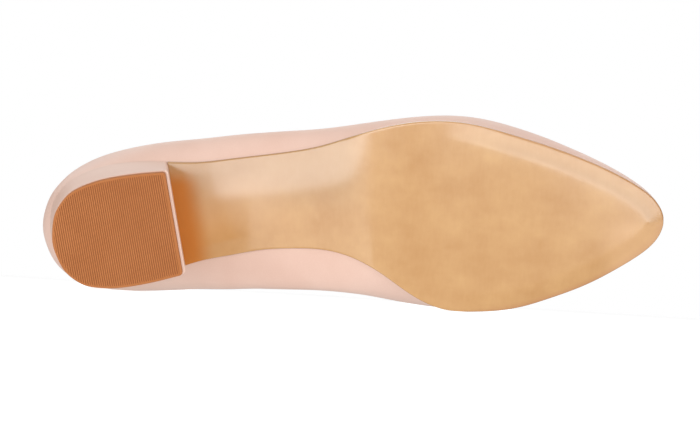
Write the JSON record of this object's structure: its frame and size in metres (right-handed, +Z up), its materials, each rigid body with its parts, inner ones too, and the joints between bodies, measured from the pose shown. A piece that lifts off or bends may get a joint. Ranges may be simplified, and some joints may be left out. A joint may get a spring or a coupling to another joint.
{
  "type": "block-heel pump",
  "caption": "Low-cut leather pump with an almond toe, a covered D-shaped block heel and a leather sole, for the right foot, lying on its inner side.",
  "frame": {"origin": "middle of the bounding box on the floor that the shoe lies on", "axes": "+X towards the toe, +Y from the sole towards the collar, +Z up through the outer side of the shoe"},
  "size_m": [0.292, 0.1158, 0.0906],
  "materials": {
    "sole_leather": "glossy varnished tan leather",
    "sock_leather": "matt beige lining leather",
    "upper_leather": "smooth pale pink leather, soft sheen",
    "heel_cover": "smooth pale pink leather, soft sheen",
    "heel_rubber": "matt brown rubber with fine ribs"
  },
  "bodies": {
    "root": {"outsole": "sole_leather", "insole": "sock_leather", "upper": "upper_leather", "heel_block": "heel_cover", "top_piece": "heel_rubber"}
  },
  "joints": []
}
